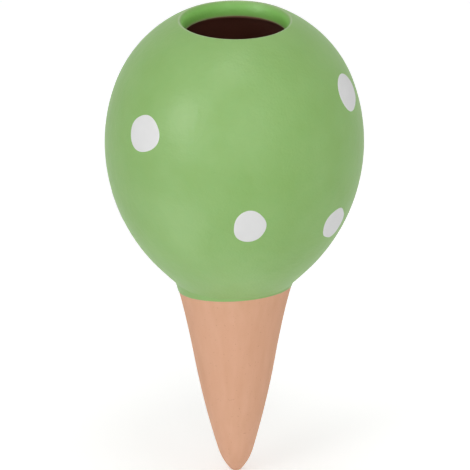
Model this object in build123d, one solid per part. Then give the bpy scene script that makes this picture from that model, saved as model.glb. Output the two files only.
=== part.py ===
from build123d import *
from math import cos, pi, radians, sin, sqrt, tan
import os

# A hand-painted terracotta watering bulb on a hollow clay spike that is pushed into the soil.
# Water poured in at the mouth fills the bulb and seeps out through the bare clay of the spike.
# Sizes are in millimetres and angles in degrees. +Z points up to the mouth, and -Y to the front.
# The origin is on the axis, at the crease where the bulb meets the spike.

# Clay shell of the bulb, measured over the clay
bulb_diameter = 92.6
waist_height = 52.45
crown_rise = 46.05
bulb_wall = 5.4
belly_foot_angle = 45.0
crown_join_share = 0.615
belly_join_share = 0.832

# Mouth, whose short straight throat flares out to a crisp inner edge of the lip
mouth_diameter = 36.8
mouth_flare = 1.55
lip_inner_round = 0.5
lip_inner_angle = 145.0
lip_outer_round = 1.05
lip_outer_angle = 63.4

# Crease where the bulb draws in to the spike
crease_diameter = 43.15
crease_round = 1.0

# Hollow spike, closed at its tip, first flaring in and then bowing out to the tip
spike_length = 77.55
spike_wall = 4.3
flank_top_angle = 15.7
flank_depth = 30.85
flank_diameter = 29.7
flank_angle = 9.5
flank_join_share = 0.488
tip_round = 2.7
tip_angle = 37.0
tip_join_share = 0.783

# Well inside the spike, with a thicker floor at the tip
tip_wall = 9.0
well_tip_round = 1.6
well_tip_angle = 20.0

# Lap joint that lutes the spike to the bulb with slip
shoulder_width = 2.5
slip_thickness = 0.4

# Coat of green paint, dipped a little askew so that its edge slopes
coat_thickness = 0.2
dip_depth = 4.0
dip_right_rise = 2.5
dip_front_rise = 5.85

# White dots, each brushed over the green by hand
dot_diameter = 13.3
dot_thickness = 0.15
dot_outline_points = 12

# Reach past the clay for the shapes that only cut or divide it
overrun = 6.0

# Each dot's azimuth from the front in degrees, its place along the outline from lip to crease,
# its size, and the strength and turn in degrees of its two-sided and three-sided unevenness
dot_shares = [
    (-45.7, 0.352, 1.025, 0.041, 57, 0.024, -14),
    (7.0, 0.616, 0.937, 0.074, 173, 0.026, -34),
    (73.5, 0.275, 1.065, 0.050, 3, 0.027, -21),
    (56.7, 0.680, 0.974, 0.105, -86, 0.012, -152),
    (-87.0, 0.696, 0.98, 0.050, 60, 0.030, 40),
    (124.0, 0.640, 1.02, 0.060, 20, 0.030, 110),
    (163.0, 0.330, 1.05, 0.045, 140, 0.035, -60),
    (-160.0, 0.665, 0.96, 0.080, 100, 0.025, 10),
    (-118.0, 0.300, 1.00, 0.065, -40, 0.030, 75),
]

clay_color = (0.78, 0.55, 0.42)
green_color = (0.51, 0.69, 0.37)
white_color = (0.93, 0.93, 0.92)


def facing(angle):
    """The way that a surface faces at this many degrees above the horizontal."""
    return Vector(cos(radians(angle)), sin(radians(angle)))


def running(angle):
    """The way that the outline runs downwards where its surface faces that way."""
    return Vector(sin(radians(angle)), -cos(radians(angle)))


def join_arcs(start, start_way, end, end_way, join_share):
    """The point and way where two arcs meet that leave the start and reach the end as told."""
    ratio = join_share / (1 - join_share)
    span = end - start
    bend = 2 * ratio * (1 - start_way.dot(end_way))
    along = 2 * (ratio * span.dot(start_way) + span.dot(end_way))
    end_reach = 2 * span.dot(span) / (along + sqrt(along * along + 4 * bend * span.dot(span)))
    start_corner = start + start_way * ratio * end_reach
    end_corner = end - end_way * end_reach
    way = (end_corner - start_corner).normalized()
    return start_corner + way * ratio * end_reach, way


def shifted(station, proud):
    """The point of a station moved outwards, square to the surface."""
    point, way = station
    return point + Vector(-way.Y, way.X) * proud


def outline(stations, proud=0):
    """Tangent arcs and lines through the stations, proud of the clay by the given thickness."""
    runs = []
    for start, end in zip(stations, stations[1:]):
        first, last = shifted(start, proud), shifted(end, proud)
        if start[1].cross(end[1]).length > 0:
            runs.append(TangentArc(first, last, tangent=start[1]))
        else:
            runs.append(Line(first, last))
    return runs


def layer(stations, inner_proud, outer_proud):
    """The section of a layer that follows the outline between two distances from the clay."""
    inner = outline(stations, inner_proud)
    outer = outline(stations, outer_proud)
    ends = [Line(inner[0] @ 0, outer[0] @ 0), Line(inner[-1] @ 1, outer[-1] @ 1)]
    return make_face(inner + outer + ends)


def inside(runs):
    """The section between an outline and the axis."""
    top, bottom = runs[0] @ 0, runs[-1] @ 1
    closing = [Line((0, top.Y), top), Line((0, top.Y), (0, bottom.Y))]
    if bottom.X > 0:
        closing.append(Line((0, bottom.Y), bottom))
    return make_face(runs + closing)


def within(radius, bottom, top):
    """The section of everything nearer the axis than a radius, between two heights."""
    return Pos(0, bottom) * Rectangle(radius, top - bottom, align=(Align.MIN, Align.MIN))


def turned(section):
    """The solid made by turning a section about the vertical axis."""
    return revolve(Plane.XZ * section, Axis.Z)


def save(piece, node, color):
    """Write one piece under its own name."""
    piece.label = node
    piece.color = Color(*color)
    export_step(piece, os.path.join("parts", node + ".step"))


bulb_radius = bulb_diameter / 2
bore_radius = mouth_diameter / 2 + coat_thickness
crest_height = waist_height + crown_rise
crest_radius = bore_radius + mouth_flare
crease_radius = crease_diameter / 2
spigot_radius = crease_radius - shoulder_width

# Outside of the clay as stations, each a point and the way that the outline runs there.
# Mouth wall and lip, from the inside over the crest
bore_foot = (Vector(bore_radius, crest_height - bulb_wall - overrun), Vector(0, 1))
flare_center = Vector(crest_radius, crest_height - lip_inner_round)
flare_head = (flare_center + facing(lip_inner_angle) * lip_inner_round, running(lip_inner_angle))
flare_depth = (flare_head[0].X - bore_radius) * tan(radians(lip_inner_angle) / 2)
throat_top = (Vector(bore_radius, flare_head[0].Y - flare_depth), Vector(0, 1))
crest = (Vector(crest_radius, crest_height), Vector(1, 0))
lip_center = Vector(crest_radius, crest_height - lip_outer_round)
lip_edge = (lip_center + facing(lip_outer_angle) * lip_outer_round, running(lip_outer_angle))

# Crown and belly, either side of the waist, down to the round of the crease
waist = (Vector(bulb_radius, waist_height), running(0))
crown_join = join_arcs(*lip_edge, *waist, crown_join_share)
crease_corner = Vector(crease_radius, 0)
crease_reach = crease_round * tan(radians(belly_foot_angle - flank_top_angle) / 2)
belly_foot = (crease_corner - running(-belly_foot_angle) * crease_reach, running(-belly_foot_angle))
belly_join = join_arcs(*waist, *belly_foot, belly_join_share)

# Flank and tip of the spike
flank_top = (crease_corner + running(-flank_top_angle) * crease_reach, running(-flank_top_angle))
flank = (Vector(flank_diameter / 2, -flank_depth), running(-flank_angle))
flank_join = join_arcs(*flank_top, *flank, flank_join_share)
tip_center = Vector(0, tip_round - spike_length)
tip_shoulder = (tip_center + facing(-tip_angle) * tip_round, running(-tip_angle))
tip_join = join_arcs(*flank, *tip_shoulder, tip_join_share)
tip = (Vector(0, -spike_length), Vector(-1, 0))

mouth_run = [bore_foot, throat_top, flare_head, crest, lip_edge]
bulb_run = [lip_edge, crown_join, waist, belly_join, belly_foot]
flare_run = [belly_foot, flank_top, flank_join]
spike_run = [flank_join, flank, tip_join, tip_shoulder, tip]
painted_run = mouth_run + bulb_run[1:] + flare_run[1:]

# Hollow of the bulb, one wall inside its outline
cavity = inside(outline(bulb_run, -bulb_wall))

# Well of the spike, which opens into the hollow of the bulb
well_top = (shifted(flank_top, -spike_wall), flank_top[1])
well_mouth = (well_top[0] - well_top[1] * overrun, well_top[1])
well_flank = (shifted(flank, -spike_wall), flank[1])
well_center = Vector(0, tip_wall + well_tip_round - spike_length)
well_shoulder = (well_center + facing(-well_tip_angle) * well_tip_round, running(-well_tip_angle))
well_floor = (Vector(0, tip_wall - spike_length), Vector(-1, 0))
upper_join = join_arcs(*well_top, *well_flank, flank_join_share)
lower_join = join_arcs(*well_flank, *well_shoulder, tip_join_share)
well_run = [well_mouth, well_top, upper_join, well_flank, lower_join, well_shoulder, well_floor]
well = inside(outline(well_run))

# Fired wall of the whole, divided by the lap joint: the spike keeps the shoulder and the spigot
wall = inside(outline(painted_run + spike_run[1:])) - cavity - well
below_shoulder = within(bulb_radius + overrun, -spike_length - overrun, 0)
spigot = within(spigot_radius, -overrun, waist_height)
below_foot = within(bulb_radius + overrun, -overrun, slip_thickness)
spigot_sleeve = within(spigot_radius + slip_thickness, -overrun, waist_height)
spike_section = wall & (below_shoulder + spigot)
bulb_section = wall - (below_shoulder + below_foot + spigot_sleeve)
clay_spike = turned(spike_section)
clay_bulb = turned(bulb_section)
slip_seam = turned(wall - spike_section - bulb_section)

# Paint over the mouth wall, the lip, the bulb and the top of the spike, cut off at the dip line
coat_section = layer(painted_run, 0, coat_thickness) - cavity
dip_normal = Vector(-dip_right_rise, dip_front_rise, crease_diameter)
dip_plane = Plane(origin=(0, 0, -dip_depth), z_dir=dip_normal)
green_coat = split(turned(coat_section), bisect_by=dip_plane, keep=Keep.TOP)

# White dots, each a thin layer of paint that follows the surface under it
meridian = Wire(outline(bulb_run, coat_thickness))
dot_skin = turned(layer(bulb_run, coat_thickness, coat_thickness + dot_thickness))
white_dots = []
for azimuth, place, size, pair, pair_turn, trio, trio_turn in dot_shares:
    spot, way = meridian @ place, meridian % place
    outwards = Vector(sin(radians(azimuth)), -cos(radians(azimuth)), 0)
    sideways = Vector(cos(radians(azimuth)), sin(radians(azimuth)), 0)
    upwards = Vector(0, 0, 1)
    center = outwards * spot.X + upwards * spot.Y
    surface = Plane(origin=center, x_dir=sideways, z_dir=outwards * -way.Y + upwards * way.X)
    rim = []
    for step in range(dot_outline_points):
        turn = 2 * pi * step / dot_outline_points
        swell = 1 + pair * cos(2 * turn - radians(pair_turn)) + trio * cos(3 * turn - radians(trio_turn))
        rim.append(Vector(cos(turn), sin(turn)) * swell * size * dot_diameter / 2)
    brushed = surface * make_face(Spline(*rim, periodic=True))
    white_dots.append(extrude(brushed, amount=overrun, both=True) & dot_skin)

os.makedirs("parts", exist_ok=True)
save(clay_bulb, "clay_bulb", clay_color)
save(clay_spike, "clay_spike", clay_color)
save(slip_seam, "slip_seam", clay_color)
save(green_coat, "green_coat", green_color)
for number, white_dot in enumerate(white_dots, start=1):
    save(white_dot, f"white_dot_{number:02d}", white_color)
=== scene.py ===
from math import acos, asin, atan2, cos, degrees, pi, radians, sin, sqrt, tan

import bmesh
import bpy
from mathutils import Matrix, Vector, geometry, kdtree, noise


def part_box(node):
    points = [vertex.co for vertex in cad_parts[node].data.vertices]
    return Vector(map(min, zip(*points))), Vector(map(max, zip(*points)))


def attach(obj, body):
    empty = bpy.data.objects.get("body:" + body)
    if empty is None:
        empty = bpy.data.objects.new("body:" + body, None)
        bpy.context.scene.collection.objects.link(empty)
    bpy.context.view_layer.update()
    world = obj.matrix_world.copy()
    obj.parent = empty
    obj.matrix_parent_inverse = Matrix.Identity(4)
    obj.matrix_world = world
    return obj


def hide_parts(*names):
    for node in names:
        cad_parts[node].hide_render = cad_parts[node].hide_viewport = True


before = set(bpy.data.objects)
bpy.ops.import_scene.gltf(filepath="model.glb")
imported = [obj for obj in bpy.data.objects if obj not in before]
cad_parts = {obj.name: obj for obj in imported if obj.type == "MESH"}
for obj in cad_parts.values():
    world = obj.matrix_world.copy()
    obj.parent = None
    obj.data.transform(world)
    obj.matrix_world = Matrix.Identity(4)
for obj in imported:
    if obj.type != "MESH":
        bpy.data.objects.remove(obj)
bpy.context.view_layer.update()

# The bulb is a hollow egg of terracotta, pressed in a mould and sponged smooth while it was damp. Its
# outside lies under the paint, so the bare clay shows only inside the mouth, where a finger has pressed
# the cut edge of the mouth's wall down into a soft rounded rim.
MM = 0.001
bulb_low, bulb_high = (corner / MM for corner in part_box("clay_bulb"))
bulb_wall = 5.4
throat_radius, mouth_flare = 18.6, 1.55
lip_inner_round, lip_inner_angle = 0.5, 145
lip_outer_round, lip_outer_angle = 1.05, 63.4
finger_round, finger_height, finger_spread = 1.0, 93.48, 5.0
waist_height = 52.45
crease_radius, crease_round = 21.575, 1.0
belly_angle, flank_top_angle = 45, 15.7
crown_join_share, belly_join_share, finger_join_share = 0.615, 0.832, 0.5
sleeve_radius = 19.475


def facing_way(facing):
    """A step of 1 mm, as a radius and a height, the way that a surface faces."""
    return Vector((cos(radians(facing)), sin(radians(facing))))


def station_at(middle, reach, facing):
    """A place on an arc as a station: its radius, its height and how far above level it faces."""
    spot = Vector(middle) + facing_way(facing) * reach
    return spot.x, spot.y, facing


def off_clay(station, proud):
    """The radius and height of a station, moved out from the clay by this many millimetres."""
    return Vector(station[:2]) + facing_way(station[2]) * proud


def run_down(station, reach):
    """The station this far further down a straight run."""
    spot = Vector(station[:2]) + facing_way(station[2] - 90) * reach
    return spot.x, spot.y, station[2]


def meet_arcs(start, end, share):
    """The station where two arcs meet that run on from the first station and into the second one."""
    ratio = share / (1 - share)
    span = Vector(end[:2]) - Vector(start[:2])
    start_way, end_way = facing_way(start[2] - 90), facing_way(end[2] - 90)
    bend = 2 * ratio * (1 - start_way.dot(end_way))
    along = 2 * (ratio * span.dot(start_way) + span.dot(end_way))
    reach = 2 * span.dot(span) / (along + sqrt(along * along + 4 * bend * span.dot(span)))
    start_corner = Vector(start[:2]) + start_way * ratio * reach
    way = (Vector(end[:2]) - end_way * reach - start_corner).normalized()
    spot = start_corner + way * ratio * reach
    return spot.x, spot.y, degrees(atan2(way.x, -way.y))


def arc_between(start, end):
    """The middle of the arc between two stations and its radius, which is negative in a hollow."""
    spread = facing_way(end[2]) - facing_way(start[2])
    reach = (Vector(end[:2]) - Vector(start[:2])).dot(spread) / spread.length_squared
    return off_clay(start, -reach), reach


def at_height(start, end, height):
    """The station at this height on the arc between two stations."""
    middle, reach = arc_between(start, end)
    return station_at(middle, reach, degrees(asin((height - middle.y) / reach)))


def at_radius(start, end, radius, proud):
    """The station on the arc between two stations that has this radius when moved off the clay."""
    middle, reach = arc_between(start, end)
    facing = degrees(acos((radius - middle.x) / (reach + proud)))
    return station_at(middle, reach, facing if end[2] > 0 else -facing)


crest = (throat_radius + mouth_flare, bulb_high.z, 90)
lip_edge = station_at((crest[0], crest[1] - lip_outer_round), lip_outer_round, lip_outer_angle)
flare_head = station_at((crest[0], crest[1] - lip_inner_round), lip_inner_round, lip_inner_angle)
flare_depth = (flare_head[0] - throat_radius) * tan(radians(lip_inner_angle / 2))
throat_top = (throat_radius, flare_head[1] - flare_depth, 180)

waist = (bulb_high.x, waist_height, 0)
crown_join = meet_arcs(lip_edge, waist, crown_join_share)
crease_reach = crease_round * tan(radians(belly_angle - flank_top_angle) / 2)
belly_foot = run_down((crease_radius, 0, -belly_angle), -crease_reach)
belly_join = meet_arcs(waist, belly_foot, belly_join_share)
bulb_run = [lip_edge, crown_join, waist, belly_join, belly_foot]

ceiling_edge = at_radius(lip_edge, crown_join, throat_radius + finger_spread, -bulb_wall)
ceiling_head = (*off_clay(ceiling_edge, -bulb_wall), ceiling_edge[2] + 180)
finger_middle = (throat_radius + finger_round, finger_height)
finger_foot = station_at(finger_middle, finger_round, ceiling_head[2])
ceiling_run = [ceiling_head, meet_arcs(ceiling_head, finger_foot, finger_join_share)]
mouth_run = [finger_foot, station_at(finger_middle, finger_round, 180), throat_top, flare_head, crest]

foot_edge = at_height(belly_join, belly_foot, bulb_low.z)
sleeve_edge = at_radius(belly_join, belly_foot, sleeve_radius, -bulb_wall)
sleeve_top = off_clay(sleeve_edge, -bulb_wall).y
bulb_foot = [foot_edge, (foot_edge[0], bulb_low.z, -90), (sleeve_radius, bulb_low.z, -90),
             (sleeve_radius, bulb_low.z, 180), (sleeve_radius, sleeve_top, 180)]


def draw_outline(mesh, stations, proud=0.0, stride=0.9):
    """Draw tangent arcs and lines through the stations, each one a spin of the last corner drawn."""
    shortest_chord, longest_turn, straight_turn = 0.001 * MM, radians(12), radians(0.02)
    spots = [off_clay(station, proud) * MM for station in stations]
    spots = [Vector((spot.x, 0, spot.y)) for spot in spots]
    corner = mesh.verts.new(spots[0])
    for here, start, end in zip(stations, spots, spots[1:]):
        chord = end - start
        if chord.length < shortest_chord:
            continue
        way = Vector((sin(radians(here[2])), 0, -cos(radians(here[2]))))
        turn = 2 * atan2(way.x * chord.z - way.z * chord.x, way.dot(chord))
        steps = max(round(chord.length / (stride * MM)), round(abs(turn) / longest_turn), 1)
        if abs(turn) < straight_turn:
            run = bmesh.ops.spin(mesh, geom=[corner], cent=start, axis=(0, -1, 0), angle=0, steps=steps,
                                 dvec=chord / steps)
        else:
            center = start + Vector((-way.z, 0, way.x)) * chord.length / (2 * sin(turn / 2))
            run = bmesh.ops.spin(mesh, geom=[corner], cent=center, axis=(0, -1, 0), angle=turn, steps=steps)
        corner = run["geom_last"][0]


def turn_round(mesh, steps=160):
    """Turn the outline once about the upright axis, as on a wheel, and close its seam and poles."""
    weld_gap = 0.003 * MM
    bmesh.ops.remove_doubles(mesh, verts=mesh.verts[:], dist=weld_gap)
    bmesh.ops.spin(mesh, geom=mesh.verts[:] + mesh.edges[:], cent=(0, 0, 0), axis=(0, 0, 1),
                   angle=2 * pi, steps=steps, use_merge=True)
    bmesh.ops.remove_doubles(mesh, verts=mesh.verts[:], dist=weld_gap)
    bmesh.ops.recalc_face_normals(mesh, faces=mesh.faces[:])


def press_by_hand(mesh):
    """Give a turned shape the soft lumps and the slightly bowed axis that hand finishing leaves."""
    lump_spacing, lump_height, lump_seed = 26, 0.12, 2
    bow_middle, bow_reach, bow_depth = 20, 88, 0.5
    noise.seed_set(lump_seed)
    for corner in mesh.verts:
        bow = (corner.co.z - bow_middle * MM) / (bow_reach * MM)
        lump = noise.noise_vector(corner.co / (lump_spacing * MM)) * lump_height
        corner.co += (lump + Vector((bow_depth * bow * bow - bow_depth / 2, 0, 0))) * MM


def make_piece(name, mesh, materials, node):
    """Turn a finished mesh into a piece of the object that stands for this CAD node."""
    sharp_angle = 38
    data = bpy.data.meshes.new(name)
    mesh.to_mesh(data)
    mesh.free()
    for material in materials:
        data.materials.append(material)
    data.shade_smooth()
    data.set_sharp_from_angle(angle=radians(sharp_angle))
    piece = bpy.data.objects.new(name, data)
    bpy.context.scene.collection.objects.link(piece)
    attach(piece, "root")
    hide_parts(node)


def linear(hex_color):
    """The linear colour, with full alpha, of an sRGB hex value."""
    shares = [int(hex_color[at:at + 2], 16) / 255 for at in (1, 3, 5)]
    shares = [share / 12.92 if share <= 0.04045 else ((share + 0.055) / 1.055) ** 2.4 for share in shares]
    return [*shares, 1.0]


def add_node(tree, kind, settings):
    """Add a node with its settings, and link the inputs for which a socket is given."""
    node = tree.nodes.new(kind)
    for name, value in settings.items():
        if isinstance(value, bpy.types.NodeSocket):
            tree.links.new(value, node.inputs[name])
        elif isinstance(name, int) or name in node.inputs:
            node.inputs[name].default_value = value
        else:
            setattr(node, name, value)
    return node


def new_finish(name):
    """A material with an empty node tree, that tree, and the place on the piece in metres."""
    material = bpy.data.materials.new(name)
    material.use_nodes = True
    tree = material.node_tree
    tree.nodes.clear()
    return material, tree, add_node(tree, "ShaderNodeTexCoord", {}).outputs["Object"]


# Raw terracotta, fired and left bare inside, with the gritty, quite matt face that the mould leaves. Its
# colour is set much darker and redder than the spike's clay: that is painted shade for the deep shade inside
# the bulb, so the mouth shows a deep warm brown. Over the rounded rim at the foot of the mouth's wall the
# colour turns paler, a painted highlight where light falls on that edge. The real grit is too fine to show,
# so it is drawn at 0.9 mm.
lit_rim_from, lit_rim_full = 91.8, 92.8
raw_clay, tree, place = new_finish("raw_terracotta")
grit = add_node(tree, "ShaderNodeTexNoise", {"Scale": 1 / (0.9 * MM), "Detail": 3.0, "Vector": place})
cloud = add_node(tree, "ShaderNodeTexNoise", {"Scale": 1 / (17 * MM), "Detail": 3.0, "Vector": place})
tint = add_node(tree, "ShaderNodeMixRGB", {
    "Fac": cloud.outputs["Fac"], "Color1": linear("#955747"), "Color2": linear("#A36150")})
upright_place = add_node(tree, "ShaderNodeSeparateXYZ", {"Vector": place})
# The clay is painted paler over the rim at the foot of the mouth's wall: a painted highlight where light
# falls on that edge.
lit_rim_share = add_node(tree, "ShaderNodeMapRange", {
    "Value": upright_place.outputs["Z"], "From Min": lit_rim_from * MM, "From Max": lit_rim_full * MM})
lit_rim = add_node(tree, "ShaderNodeMixRGB", {
    "Fac": lit_rim_share.outputs["Result"], "Color1": tint.outputs["Color"], "Color2": linear("#A87763")})
relief = add_node(tree, "ShaderNodeBump", {
    "Strength": 0.6, "Distance": 0.08 * MM, "Height": grit.outputs["Fac"]})
shader = add_node(tree, "ShaderNodeBsdfPrincipled", {
    "Base Color": lit_rim.outputs["Color"], "Roughness": 0.85, "IOR": 1.5, "Specular IOR Level": 0.3,
    "Normal": relief.outputs["Normal"]})
add_node(tree, "ShaderNodeOutputMaterial", {"Surface": shader.outputs["BSDF"]})

shell = bmesh.new()
draw_outline(shell, ceiling_run + mouth_run + bulb_run[:-1] + bulb_foot)
draw_outline(shell, [ceiling_edge, *bulb_run[1:-1], sleeve_edge], proud=-bulb_wall)
turn_round(shell)
press_by_hand(shell)
make_piece("bulb_shell", shell, [raw_clay], "clay_bulb")

# The spike is a hollow cone of the same clay, closed at its tip, that lets water seep into the soil. It
# was pulled through the hands, so faint upright strokes run down it, and its tip is worn a little blunt.
# Its top is a spigot that goes up into the bulb.
spike_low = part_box("clay_spike")[0] / MM
spike_wall, tip_wall = 4.3, 9.0
spigot_radius = 19.075
flank_radius, flank_depth, flank_angle = 14.85, 30.85, 9.5
tip_round, tip_angle, tip_wear = 3.0, 38.9, 0.42
well_tip_round, well_tip_angle = 1.6, 20
flank_join_share, tip_join_share, well_join_share = 0.488, 0.806, 0.783

tip_height = spike_low.z + tip_wear
flank_top = run_down((crease_radius, 0, -flank_top_angle), crease_reach)
flank = (flank_radius, -flank_depth, -flank_angle)
flank_join = meet_arcs(flank_top, flank, flank_join_share)
tip_shoulder = station_at((0, tip_height + tip_round), tip_round, -tip_angle)
tip_join = meet_arcs(flank, tip_shoulder, tip_join_share)
crease = at_height(belly_foot, flank_top, 0)
spike_run = [crease, flank_top, flank_join, flank, tip_join, tip_shoulder, (0, tip_height, -90)]

well_top = (*off_clay(flank_top, -spike_wall), -flank_top_angle)
well_flank = (*off_clay(flank, -spike_wall), -flank_angle)
well_floor = spike_low.z + tip_wall
well_shoulder = station_at((0, well_floor + well_tip_round), well_tip_round, -well_tip_angle)
well_run = [well_top, meet_arcs(well_top, well_flank, flank_join_share), well_flank,
            meet_arcs(well_flank, well_shoulder, well_join_share), well_shoulder, (0, well_floor, -90)]

belly_middle, belly_reach = arc_between(belly_join, belly_foot)
rim_facing = at_radius(belly_join, belly_foot, spigot_radius, -bulb_wall)[2]
spigot_rim = station_at(belly_middle, belly_reach - bulb_wall, rim_facing)
rim_ends = geometry.intersect_line_sphere_2d(well_top[:2], run_down(well_top, -bulb_wall)[:2],
                                             belly_middle, belly_reach - bulb_wall)
well_head = next(end for end in rim_ends if end)
spigot_run = [(crease[0], 0, -90), (spigot_radius, 0, -90), (spigot_radius, 0, 180),
              (spigot_radius, spigot_rim[1], 180)]

# Sponged terracotta, a fine clay smoothed with a wet sponge and fired: a pale orange pink that is matt,
# with upright strokes a few millimetres apart, specks of grog and an open grain. The real grain is too fine
# to show, so it is drawn at half a millimetre.
sponged_clay, tree, place = new_finish("sponged_terracotta")
upright = add_node(tree, "ShaderNodeMapping", {"Scale": (1, 1, 0.09), "Vector": place})
strokes = add_node(tree, "ShaderNodeTexNoise", {
    "Scale": 1 / (3.2 * MM), "Detail": 3.0, "Vector": upright.outputs["Vector"]})
cloud = add_node(tree, "ShaderNodeTexNoise", {"Scale": 1 / (15 * MM), "Detail": 2.0, "Vector": place})
stroke_tint = add_node(tree, "ShaderNodeMixRGB", {
    "Fac": strokes.outputs["Fac"], "Color1": linear("#D6A07E"), "Color2": linear("#E4B294")})
cloud_share = add_node(tree, "ShaderNodeMapRange", {
    "Value": cloud.outputs["Fac"], "From Min": 0.35, "From Max": 0.7, "To Max": 0.35})
tint = add_node(tree, "ShaderNodeMixRGB", {
    "Fac": cloud_share.outputs["Result"], "Color1": stroke_tint.outputs["Color"],
    "Color2": linear("#DDA585")})
speck = add_node(tree, "ShaderNodeTexNoise", {"Scale": 1 / (0.8 * MM), "Detail": 1.0, "Vector": place})
speck_share = add_node(tree, "ShaderNodeMapRange", {
    "Value": speck.outputs["Fac"], "From Min": 0.68, "From Max": 0.78, "To Max": 0.35})
specked = add_node(tree, "ShaderNodeMixRGB", {
    "Fac": speck_share.outputs["Result"], "Color1": tint.outputs["Color"], "Color2": linear("#B27B5D")})
grain = add_node(tree, "ShaderNodeTexNoise", {"Scale": 1 / (0.5 * MM), "Detail": 3.0, "Vector": place})
stroke_relief = add_node(tree, "ShaderNodeBump", {
    "Strength": 0.35, "Distance": 0.15 * MM, "Height": strokes.outputs["Fac"]})
relief = add_node(tree, "ShaderNodeBump", {
    "Strength": 0.5, "Distance": 0.05 * MM, "Height": grain.outputs["Fac"],
    "Normal": stroke_relief.outputs["Normal"]})
shader = add_node(tree, "ShaderNodeBsdfPrincipled", {
    "Base Color": specked.outputs["Color"], "Roughness": 0.8, "IOR": 1.5, "Specular IOR Level": 0.35,
    "Normal": relief.outputs["Normal"]})
add_node(tree, "ShaderNodeOutputMaterial", {"Surface": shader.outputs["BSDF"]})

spike = bmesh.new()
draw_outline(spike, spike_run)
draw_outline(spike, spigot_run)
draw_outline(spike, [spigot_rim, (*well_head, rim_facing)])
draw_outline(spike, [(*well_head, -flank_top_angle), *well_run])
turn_round(spike)
# The faces inside the spike take the darker raw clay, which paints shade into its hollow.
for face in spike.faces:
    middle = face.calc_center_median()
    faces_axis = face.normal.xy.dot(middle.xy) < 0
    if faces_axis and middle.z > (spike_low.z + tip_wall / 2) * MM:
        face.material_index = 1
press_by_hand(spike)
make_piece("spike_shell", spike, [sponged_clay, raw_clay], "clay_spike")

# Slip, the same clay thinned with water, lutes the two together: it was brushed on the spigot, squeezed
# up into a small bead when the spike was pushed home, and fired with them.
slip_run = [foot_edge, belly_foot, crease, *spigot_run, (sleeve_radius, sleeve_top, 90),
            (sleeve_radius, sleeve_top, 0), (sleeve_radius, bulb_low.z, 0),
            (sleeve_radius, bulb_low.z, 90), (foot_edge[0], bulb_low.z, 90)]
seam = bmesh.new()
draw_outline(seam, slip_run, stride=0.5)
turn_round(seam)
press_by_hand(seam)
make_piece("slip_ring", seam, [raw_clay], "slip_seam")

# The green coat is acrylic paint. The fired vessel was dipped mouth first, a little askew, so the coat
# goes over the lip, into the mouth and past the crease to a sloping edge on the spike. The paint thins
# out to nothing over its last half millimetre, there and at its edge inside the mouth.
coat, coat_inset = 0.2, 0.03
crease_width = 2 * crease_radius
dip_depth, dip_right_slope, dip_front_slope = 4, 2.5 / crease_width, 5.85 / crease_width
mouth_edge_height = 92.45
mouth_edge_right_slope, mouth_edge_front_slope = 0.012, -0.045
feather = 0.6
feather_rows = (0, 0.03, 0.09, 0.18, 0.3, 0.45, feather)

# Satin acrylic over fired clay: an even leaf green with a soft sheen, faintly cloudy where the clay drank
# more of the paint, with shallow dimples and a grain that is drawn as coarse as it needs to show. On the
# mouth's wall the green is painted brighter and more saturated, as painted light from inside the mouth.
# Towards the paint's edge there it pales, for the clay that shows through the thin paint and as a painted
# highlight on that edge. A pale line on the lip's crisp edge is a painted highlight.
mouth_light_from, mouth_light_full = 19.8, 18.9
pale_edge_from, pale_edge_full = 94.1, 92.9
lip_glint_radius, lip_glint_from, lip_glint_full = crest[0] - 0.1, 0.5, 0.15
green_paint, tree, place = new_finish("satin_green_acrylic")
cloud = add_node(tree, "ShaderNodeTexNoise", {"Scale": 1 / (13 * MM), "Detail": 2.0, "Vector": place})
dimple = add_node(tree, "ShaderNodeTexNoise", {"Scale": 1 / (3.5 * MM), "Detail": 2.0, "Vector": place})
cloud_share = add_node(tree, "ShaderNodeMapRange", {
    "Value": cloud.outputs["Fac"], "From Min": 0.3, "From Max": 0.7})
tint = add_node(tree, "ShaderNodeMixRGB", {
    "Fac": cloud_share.outputs["Result"], "Color1": linear("#88B163"), "Color2": linear("#8EB66C")})
mottle_share = add_node(tree, "ShaderNodeMapRange", {
    "Value": dimple.outputs["Fac"], "From Min": 0.4, "From Max": 0.75, "To Max": 0.35})
mottled = add_node(tree, "ShaderNodeMixRGB", {
    "Fac": mottle_share.outputs["Result"], "Color1": tint.outputs["Color"], "Color2": linear("#86B469")})
from_axis = add_node(tree, "ShaderNodeVectorMath", {"operation": "MULTIPLY", 0: place, 1: (1, 1, 0)})
radius_there = add_node(tree, "ShaderNodeVectorMath", {
    "operation": "LENGTH", 0: from_axis.outputs["Vector"]})
upright_place = add_node(tree, "ShaderNodeSeparateXYZ", {"Vector": place})
above_waist = add_node(tree, "ShaderNodeMath", {
    "operation": "GREATER_THAN", 0: upright_place.outputs["Z"], 1: waist_height * MM})
# On the mouth's wall the green is painted brighter and more saturated: painted light, for the light that
# bounces inside the mouth.
in_mouth = add_node(tree, "ShaderNodeMapRange", {
    "Value": radius_there.outputs["Value"], "From Min": mouth_light_from * MM, "From Max": mouth_light_full * MM})
mouth_light_share = add_node(tree, "ShaderNodeMath", {
    "operation": "MULTIPLY", 0: in_mouth.outputs["Result"], 1: above_waist.outputs["Value"]})
mouth_light = add_node(tree, "ShaderNodeMixRGB", {
    "Fac": mouth_light_share.outputs["Value"], "Color1": mottled.outputs["Color"], "Color2": linear("#88C860")})
# Towards its lower edge on the mouth's wall the paint is paled to beige, for the clay showing through the
# thin paint and as a painted highlight on that edge.
low_share = add_node(tree, "ShaderNodeMapRange", {
    "Value": upright_place.outputs["Z"], "From Min": pale_edge_from * MM, "From Max": pale_edge_full * MM,
    "To Max": 0.9})
pale_edge_share = add_node(tree, "ShaderNodeMath", {
    "operation": "MULTIPLY", 0: low_share.outputs["Result"], 1: mouth_light_share.outputs["Value"]})
pale_edge = add_node(tree, "ShaderNodeMixRGB", {
    "Fac": pale_edge_share.outputs["Value"], "Color1": mouth_light.outputs["Color"], "Color2": linear("#C8B898")})
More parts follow.
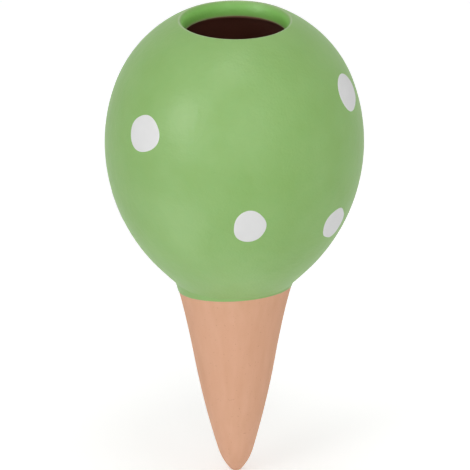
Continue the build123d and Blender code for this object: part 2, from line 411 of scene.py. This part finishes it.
# A thin pale line along the crisp edge of the lip is a painted highlight.
off_edge = add_node(tree, "ShaderNodeMath", {
    "operation": "SUBTRACT", 0: radius_there.outputs["Value"], 1: lip_glint_radius * MM})
edge_distance = add_node(tree, "ShaderNodeMath", {"operation": "ABSOLUTE", 0: off_edge.outputs["Value"]})
edge_share = add_node(tree, "ShaderNodeMapRange", {
    "Value": edge_distance.outputs["Value"], "From Min": lip_glint_from * MM, "From Max": lip_glint_full * MM,
    "To Max": 0.7})
lip_glint_share = add_node(tree, "ShaderNodeMath", {
    "operation": "MULTIPLY", 0: edge_share.outputs["Result"], 1: above_waist.outputs["Value"]})
lip_glint = add_node(tree, "ShaderNodeMixRGB", {
    "Fac": lip_glint_share.outputs["Value"], "Color1": pale_edge.outputs["Color"], "Color2": linear("#A8BD90")})
grain = add_node(tree, "ShaderNodeTexNoise", {"Scale": 1 / (0.9 * MM), "Detail": 2.0, "Vector": place})
dimple_relief = add_node(tree, "ShaderNodeBump", {
    "Strength": 0.6, "Distance": 0.32 * MM, "Height": dimple.outputs["Fac"]})
relief = add_node(tree, "ShaderNodeBump", {
    "Strength": 0.6, "Distance": 0.12 * MM, "Height": grain.outputs["Fac"],
    "Normal": dimple_relief.outputs["Normal"]})
gloss = add_node(tree, "ShaderNodeMapRange", {"Value": cloud.outputs["Fac"], "To Min": 0.42, "To Max": 0.50})
shader = add_node(tree, "ShaderNodeBsdfPrincipled", {
    "Base Color": lip_glint.outputs["Color"], "Roughness": gloss.outputs["Result"], "IOR": 1.5,
    "Specular IOR Level": 0.3, "Normal": relief.outputs["Normal"]})
add_node(tree, "ShaderNodeOutputMaterial", {"Surface": shader.outputs["BSDF"]})


def on_mouth_wall(face):
    """Whether a face of the coat lies inside the mouth."""
    middle = face.calc_center_median()
    return middle.xy.length < crest[0] * MM and middle.z > waist_height * MM


def trim_paint(sheet, inside_mouth, height, right_slope, front_slope):
    """Cut the sheet's edge off along a slope, and add rows beside the cut for the paint to thin out over."""
    point = Vector((0, 0, height))
    normal = Vector((-right_slope, front_slope, 1)).normalized()
    for depth in feather_rows:
        faces = [face for face in sheet.faces if on_mouth_wall(face) == inside_mouth]
        edges = dict.fromkeys(edge for face in faces for edge in face.edges)
        corners = dict.fromkeys(corner for face in faces for corner in face.verts)
        bmesh.ops.bisect_plane(sheet, geom=[*faces, *edges, *corners], plane_co=(point + normal * depth) * MM,
                               plane_no=normal, clear_inner=depth == 0)


paint = bmesh.new()
draw_outline(paint, mouth_run + bulb_run + [flank_top, flank_join], proud=coat)
turn_round(paint)
trim_paint(paint, False, -dip_depth, dip_right_slope, dip_front_slope)
trim_paint(paint, True, mouth_edge_height, mouth_edge_right_slope, mouth_edge_front_slope)
rim = [corner for corner in paint.verts if corner.is_boundary]
nearest_rim = kdtree.KDTree(len(rim))
for number, corner in enumerate(rim):
    nearest_rim.insert(corner.co, number)
nearest_rim.balance()
paint.normal_update()
for corner in paint.verts:
    share = min(nearest_rim.find(corner.co)[2] / (feather * MM), 1)
    rounded_fall = 1 - sqrt(1 - (1 - share) ** 2)
    corner.co -= corner.normal * (coat + coat_inset) * MM * rounded_fall
bmesh.ops.solidify(paint, geom=paint.faces[:], thickness=coat * MM)
press_by_hand(paint)
make_piece("paint_coat", paint, [green_paint], "green_coat")

# The white dots are brushed on over the green by hand, each a round dab of thick white acrylic that follows
# the bulb. Each has an azimuth from the front in degrees, a height, a relative size, and the strengths and
# turns of its outline's unevenness, first of the two-sided one, then of the three-sided one and so on.
dab_radius, dab_round, dab_thickness, dab_inset = 6.65, 0.27, 0.15, 0.04
dab_steps, fitting_rounds = 72, 4
dots = [
    (-45.7, 67.36, 1.025, [(0.041, 57), (0.024, -14), (0.016, -64), (0.007, 70)]),
    (7.0, 37.33, 0.937, [(0.074, 173), (0.026, -34), (0.006, 28), (0.009, 47)]),
    (73.5, 75.82, 1.065, [(0.050, 3), (0.027, -21), (0.019, -83)]),
    (56.7, 30.25, 0.974, [(0.105, -86), (0.012, -152), (0.0, 0), (0.021, 11)]),
    (-87.0, 28.50, 0.98, [(0.050, 60), (0.030, 40)]),
    (124.0, 34.61, 1.02, [(0.060, 20), (0.030, 110)]),
    (163.0, 69.82, 1.05, [(0.045, 140), (0.035, -60)]),
    (-160.0, 31.86, 0.96, [(0.080, 100), (0.025, 10)]),
    (-118.0, 73.11, 1.00, [(0.065, -40), (0.030, 75)]),
]

# Matt white acrylic, laid on thick with a soft round brush: a clean, very slightly grey white, dry to the
# eye, with faint marks of the bristles, drawn as coarse as they need to show.
white_paint, tree, place = new_finish("brushed_white_acrylic")
slant = add_node(tree, "ShaderNodeMapping", {
    "Scale": (1, 1, 0.25), "Rotation": (0.5, 0.7, 0.2), "Vector": place})
bristles = add_node(tree, "ShaderNodeTexNoise", {
    "Scale": 1 / (0.7 * MM), "Detail": 2.0, "Vector": slant.outputs["Vector"]})
cloud = add_node(tree, "ShaderNodeTexNoise", {"Scale": 1 / (4 * MM), "Detail": 1.0, "Vector": place})
tint = add_node(tree, "ShaderNodeMixRGB", {
    "Fac": cloud.outputs["Fac"], "Color1": linear("#DCDCDC"), "Color2": linear("#E2E2E2")})
relief = add_node(tree, "ShaderNodeBump", {
    "Strength": 0.4, "Distance": 0.03 * MM, "Height": bristles.outputs["Fac"]})
shader = add_node(tree, "ShaderNodeBsdfPrincipled", {
    "Base Color": tint.outputs["Color"], "Roughness": 0.6, "IOR": 1.5, "Specular IOR Level": 0.4,
    "Normal": relief.outputs["Normal"]})
add_node(tree, "ShaderNodeOutputMaterial", {"Surface": shader.outputs["BSDF"]})


def bulb_station(height):
    """The station of the bulb's clay at this height."""
    for here, there in zip(bulb_run, bulb_run[1:]):
        if height >= there[1]:
            return at_height(here, there, height)


def bulb_gap(point, proud):
    """How far below this height off the bulb's clay a point lies, and the way the clay faces there."""
    for here, there in zip(bulb_run, bulb_run[1:]):
        middle, reach = arc_between(here, there)
        arm = Vector((point.xy.length, point.z)) / MM - middle
        if there[2] <= degrees(atan2(arm.y, arm.x)) <= here[2]:
            break
    outwards = Vector((point.x, point.y, 0)).normalized()
    return (reach + proud - arm.length) * MM, (outwards * arm.x + Vector((0, 0, arm.y))).normalized()


dab_section = [(0, dab_thickness, 90), (dab_radius - dab_round, dab_thickness, 90), (dab_radius, 0, 0),
               (dab_radius, -dab_inset, 0), (dab_radius, -dab_inset, -90), (0, -dab_inset, -90)]
for number, (azimuth, height, size, waves) in enumerate(dots, start=1):
    radius, height, facing = bulb_station(height)
    outwards = Vector((sin(radians(azimuth)), -cos(radians(azimuth)), 0))
    sideways = Vector((cos(radians(azimuth)), sin(radians(azimuth)), 0))
    squarely = outwards * cos(radians(facing)) + Vector((0, 0, sin(radians(facing))))
    upwards = squarely.cross(sideways)
    middle = (outwards * radius + Vector((0, 0, height))) * MM
    dab = bmesh.new()
    draw_outline(dab, dab_section)
    turn_round(dab, steps=dab_steps)
    for corner in dab.verts:
        turn = atan2(corner.co.y, corner.co.x)
        swell = size + size * sum(strength * cos(sides * turn - radians(lag))
                                  for sides, (strength, lag) in enumerate(waves, start=2))
        proud = coat + corner.co.z / MM
        spot = middle + (sideways * corner.co.x + upwards * corner.co.y) * swell
        for _ in range(fitting_rounds):
            gap, bulb_facing = bulb_gap(spot, proud)
            spot += squarely * gap / bulb_facing.dot(squarely)
        corner.co = spot
    press_by_hand(dab)
    make_piece(f"dot_{number:02d}", dab, [white_paint], f"white_dot_{number:02d}")

# The spike stands on its tip on a plain white floor, which shows as white as paper and keeps the soft
# shadow. It isn't part of the object.
floor_radius, floor_steps = 3.0, 96


def seen_share(tree):
    """1 where the camera, a gloss or glass sees the surface, and 0 where only its light is gathered."""
    path = add_node(tree, "ShaderNodeLightPath", {})
    seen = add_node(tree, "ShaderNodeMath", {
        "operation": "MAXIMUM", 0: path.outputs["Is Camera Ray"], 1: path.outputs["Is Glossy Ray"]})
    seen_or_through = add_node(tree, "ShaderNodeMath", {
        "operation": "MAXIMUM", 0: seen.outputs["Value"], 1: path.outputs["Is Transmission Ray"]})
    return seen_or_through.outputs["Value"]


floor_paper, tree, _ = new_finish("white_paper")
glow = add_node(tree, "ShaderNodeMath", {"operation": "MULTIPLY", 0: seen_share(tree), 1: 0.35})
shader = add_node(tree, "ShaderNodeBsdfPrincipled", {
    "Base Color": linear("#F6F6F6"), "Roughness": 0.9, "Specular IOR Level": 0.0,
    "Emission Color": (1, 1, 1, 1), "Emission Strength": glow.outputs["Value"]})
add_node(tree, "ShaderNodeOutputMaterial", {"Surface": shader.outputs["BSDF"]})

ground = bmesh.new()
bmesh.ops.create_circle(ground, cap_ends=True, segments=floor_steps, radius=floor_radius)
bmesh.ops.translate(ground, verts=ground.verts[:], vec=(0, 0, tip_height * MM))
floor_data = bpy.data.meshes.new("floor")
ground.to_mesh(floor_data)
ground.free()
floor_data.materials.append(floor_paper)
floor = bpy.data.objects.new("floor", floor_data)
bpy.context.scene.collection.objects.link(floor)

# The room is white. A large soft key light stands at the upper left, in front, with a soft light overhead
# and a broad one in front. The gleams only show as soft highlights on the paint: beside the key light,
# overhead, at the right in front, and on the floor, round the tip and at the left.
lit_middle = Vector((0, 0, 0.03))
world = bpy.data.worlds.new("white_room")
bpy.context.scene.world = world
world.use_nodes = True
tree = world.node_tree
tree.nodes.clear()
strength = add_node(tree, "ShaderNodeMapRange", {"Value": seen_share(tree), "To Min": 0.6, "To Max": 1.0})
sky = add_node(tree, "ShaderNodeBackground", {
    "Color": (1, 1, 1, 1), "Strength": strength.outputs["Result"]})
add_node(tree, "ShaderNodeOutputWorld", {"Surface": sky.outputs["Background"]})


def hang_light(name, direction, distance, width, height, power, gleam_only=False, lies_flat=False):
    """Hang a soft light in this direction from the vessel, facing it, or lay it flat, facing up."""
    lamp = bpy.data.lights.new(name, "AREA")
    lamp.shape, lamp.size, lamp.size_y, lamp.energy = "RECTANGLE", width, height, power
    light = bpy.data.objects.new(name, lamp)
    aim = Vector(direction).normalized()
    light.location = lit_middle + aim * distance
    light.rotation_euler = (pi, 0, 0) if lies_flat else aim.to_track_quat("Z", "Y").to_euler()
    light.visible_camera, light.visible_diffuse = False, not gleam_only
    bpy.context.scene.collection.objects.link(light)


hang_light("key_softbox", (-0.70, -0.61, 0.37), 1.6, 0.5, 0.95, 3.1)
hang_light("top_softbox", (0.04, -0.22, 0.97), 1.4, 0.5, 0.5, 2.6)
hang_light("front_softbox", (0.08, -0.97, 0.20), 1.7, 0.8, 0.8, 5.9)
hang_light("key_gleam", (-0.70, -0.61, 0.37), 1.5, 0.35, 0.8, 16.0, gleam_only=True)
hang_light("top_gleam", (-0.12, -0.32, 0.94), 1.3, 0.3, 0.3, 4.5, gleam_only=True)
hang_light("front_gleam", (0.32, -0.84, 0.45), 1.5, 0.15, 0.4, 4.0, gleam_only=True)
hang_light("tip_gleam", (0, 0, -1), 0.106, 0.06, 0.16, 0.03, gleam_only=True, lies_flat=True)
hang_light("floor_gleam", (-0.66, -0.57, -0.49), 0.216, 0.16, 0.16, 0.22, gleam_only=True, lies_flat=True)

# The camera looks down at the vessel through a long lens, from straight in front.
lens = bpy.data.cameras.new("camera")
lens.lens, lens.sensor_width = 415.2, 36
camera = bpy.data.objects.new("camera", lens)
camera.location = (0, -1.8108, 0.7606)
camera.rotation_euler = (radians(67.648), 0, 0)
bpy.context.scene.collection.objects.link(camera)
bpy.context.scene.camera = camera
bpy.context.scene.view_settings.view_transform = "Standard"
